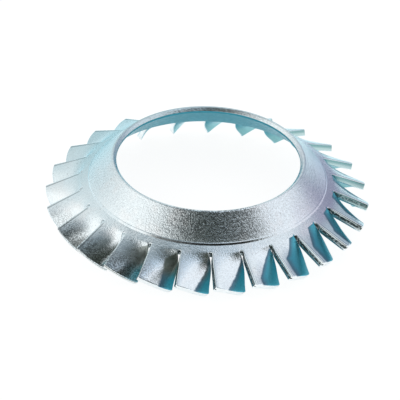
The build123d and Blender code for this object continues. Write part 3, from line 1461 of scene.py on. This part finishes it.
@dataclass(frozen=True)
class Studio:
    """Pale floor under a bright tent, with the tent's dark opening over the camera."""

    camera_bearing: float                     # of the way to the camera, from -Y, in degrees
    floor_reach: float = 2.0
    floor_sides: int = 64
    floor_colour: Colour = (0.9, 0.9, 0.9, 1.0)
    floor_glow: float = 0.93                  # what the floor shows the camera where no light reaches it
    floor_shade: float = 0.17                 # and how much the light that reaches it adds
    mirrored_glow: float = 0.64               # the same two, for what the metal reflects
    mirrored_shade: float = 0.70
    white: Colour = (1.0, 1.0, 1.0, 1.0)
    horizon: Colour = (0.66, 0.75, 0.77, 1.0)
    shoulder: Colour = (1.03, 1.04, 1.02, 1.0)
    zenith: Colour = (0.42, 0.48, 0.55, 1.0)
    horizon_height: Range = (1.0, 25.0)
    zenith_height: Range = (42.0, 83.0)
    patches: tuple[TentPatch, ...] = (
        TentPatch((0.40, 0.46, 0.54, 1.0), (50.0, 182.0), (-60.0, 48.0), (40.0, 40.0, 40.0, 10.0)),
        TentPatch((0.68, 0.80, 0.93, 1.0), (-16.0, 100.0), (36.0, 85.0), (52.0, 58.0, 10.0, 27.0)),
        TentPatch((0.94, 0.96, 1.00, 1.0), (42.0, 118.0), (-9.0, 72.0), (10.0, 27.0, 34.0, 13.0)),
        TentPatch((0.73, 0.80, 0.81, 1.0), (-200.0, -119.0), (13.0, 77.0), (52.0, 59.0, 42.0, 28.0)),
        TentPatch((0.24, 0.29, 0.32, 1.0), (-122.0, 14.0), (55.0, 89.0), (50.0, 24.0, 10.0, 12.0)),
        TentPatch((0.10, 0.12, 0.12, 1.0), (-75.0, 24.0), (50.0, 79.0), (56.0, 14.0, 8.0, 8.0)),
        TentPatch((0.06, 0.07, 0.06, 1.0), (-26.0, 59.0), (40.0, 58.0), (20.0, 8.0, 10.0, 10.0)),
        TentPatch((0.05, 0.06, 0.05, 1.0), (-26.0, 58.0), (12.0, 46.0), (36.0, 8.0, 12.0, 8.0)),
    )
    lamp_power: float = 0.05
    lamp_size: float = 0.4
    lamp_place: tuple[float, float, float] = (-0.36, -0.10, 0.25)

    def floor(self) -> None:
        """Makes the floor, which looks white and keeps the soft shadow."""
        form = bmesh.new()
        bmesh.ops.create_circle(form, cap_ends=True, segments=self.floor_sides, radius=self.floor_reach)
        mesh = bpy.data.meshes.new("studio_floor")
        form.to_mesh(mesh)
        form.free()
        kit = material_kit("studio_floor")
        path = kit.node("ShaderNodeLightPath").outputs

        def pale(glow: float, shade: float) -> Socket:
            """Makes a shader that looks white where light reaches it, and keeps the shadow.

            Args:
                glow: what it shows where no light reaches it.
                shade: how much the light that reaches it adds.

            Returns:
                The shader.
            """
            shadowed = kit.node("ShaderNodeBsdfDiffuse", Color=(shade, shade, shade, 1.0)).outputs[0]
            lit = kit.node("ShaderNodeEmission", Color=(glow, glow, glow, 1.0), Strength=1.0).outputs[0]
            return kit.node("ShaderNodeAddShader", in0=shadowed, in1=lit).outputs[0]

        mirrored = kit.most(path["Is Glossy Ray"], path["Is Transmission Ray"])
        plain = kit.node("ShaderNodeBsdfDiffuse", Color=self.floor_colour).outputs[0]
        in_metal = pale(self.mirrored_glow, self.mirrored_shade)
        in_view = pale(self.floor_glow, self.floor_shade)
        unseen = kit.node("ShaderNodeMixShader", in0=mirrored, in1=plain, in2=in_metal).outputs[0]
        seen = kit.node("ShaderNodeMixShader", in0=path["Is Camera Ray"], in1=unseen, in2=in_view)
        mesh.materials.append(kit.surface(seen))
        floor = bpy.data.objects.new("studio_floor", mesh)
        bpy.context.scene.collection.objects.link(floor)

    def tent(self) -> None:
        """Fills the world with the tent's light."""
        world = bpy.data.worlds.new("light_tent")
        bpy.context.scene.world = world
        world.use_nodes = True
        world.node_tree.nodes.clear()
        kit = TreeKit(world.node_tree)
        way = kit.node("ShaderNodeTexCoord").outputs["Generated"]
        axes = kit.node("ShaderNodeSeparateXYZ", Vector=way).outputs
        height = kit.times(kit.math("ARCSINE", axes["Z"]), 360 / TURN)
        bearing = kit.less(kit.bearing(axes), self.camera_bearing)
        light = kit.blend(kit.ramp(height, *self.horizon_height), self.horizon, self.shoulder)
        light = kit.blend(kit.ramp(height, *self.zenith_height), light, self.zenith)
        for patch in self.patches:
            light = kit.blend(patch.cover(kit, bearing, height), light, patch.colour)
        in_view = kit.node("ShaderNodeLightPath").outputs["Is Camera Ray"]
        shown = kit.blend(in_view, light, self.white)
        back = kit.node("ShaderNodeBackground", Color=shown, Strength=1.0).outputs[0]
        kit.node("ShaderNodeOutputWorld", Surface=back)

    def lamp(self) -> None:
        """Hangs one soft lamp over the left shoulder."""
        data = bpy.data.lights.new("soft_lamp", "AREA")
        data.size = self.lamp_size
        data.energy = self.lamp_power
        lamp = bpy.data.objects.new("soft_lamp", data)
        lamp.location = self.lamp_place
        lamp.rotation_mode = "QUATERNION"
        lamp.rotation_quaternion = Vector(self.lamp_place).to_track_quat("Z", "Y")
        bpy.context.scene.collection.objects.link(lamp)

    def build(self) -> None:
        """Sets up floor, tent and lamp, and the plain view transform."""
        self.floor()
        self.tent()
        self.lamp()
        bpy.context.scene.view_settings.view_transform = "Standard"
        log.info("studio: %d patches of light", len(self.patches))


@dataclass(frozen=True)
class Viewpoint:
    """The camera, aimed near the middle of the crease's plane. Angles are in degrees."""

    target_height: float
    distance: float = 280.11 * MM
    elevation: float = 33.202
    bearing: float = -2.398                   # round the axis from -Y
    pan: float = 0.100
    tilt: float = -0.316
    roll: float = -2.175
    lens: float = 356.17
    sensor: float = 36.0
    clip_start: float = 0.01

    def build(self) -> None:
        """Makes the camera and gives it to the scene."""
        elevation = math.radians(self.elevation)
        back = Vector((0, -math.cos(elevation), math.sin(elevation)))
        ahead, right = -back, Vector((1, 0, 0))
        panned = Matrix.Rotation(math.radians(self.pan), 3, right.cross(ahead))
        tilted = Matrix.Rotation(math.radians(self.tilt), 3, right)
        ahead, right = tilted @ (panned @ ahead), panned @ right
        above = right.cross(ahead)
        rolled = Matrix.Rotation(math.radians(self.roll), 3, ahead)
        axes = Matrix((rolled @ right, rolled @ above, -ahead)).transposed()
        turn = Matrix.Rotation(math.radians(self.bearing), 3, "Z")
        data = bpy.data.cameras.new("viewpoint")
        data.lens, data.sensor_width, data.clip_start = self.lens, self.sensor, self.clip_start
        camera = bpy.data.objects.new("viewpoint", data)
        place = turn @ (back * self.distance) + UP * self.target_height
        camera.matrix_world = Matrix.Translation(place) @ (turn @ axes).to_4x4()
        bpy.context.scene.collection.objects.link(camera)
        bpy.context.scene.camera = camera


def main() -> None:
    """Builds the viewpoint, the studio and the dressed washer."""
    logging.basicConfig(level=logging.INFO, format="%(name)s: %(message)s")
    sector = WasherSector()
    ring = sector.ring
    view = Viewpoint(target_height=ring.crease_height)
    view.build()
    Studio(camera_bearing=view.bearing).build()

    groups = FinishGroups()
    plating, cut = PlatedFinish().material(groups), ShearedFinish().material(groups)
    washer = ToothPattern(ring.tooth_count).build(sector.build(), plating, cut)
    washer.data.transform(Matrix.Translation(UP * ring.crease_height))
    bpy.context.scene.collection.objects.link(washer)
    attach(washer, "root")
    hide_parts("washer")
    log.info("%s: one piece with %d teeth", washer.name, ring.tooth_count)


if __name__ == "__main__":
    main()
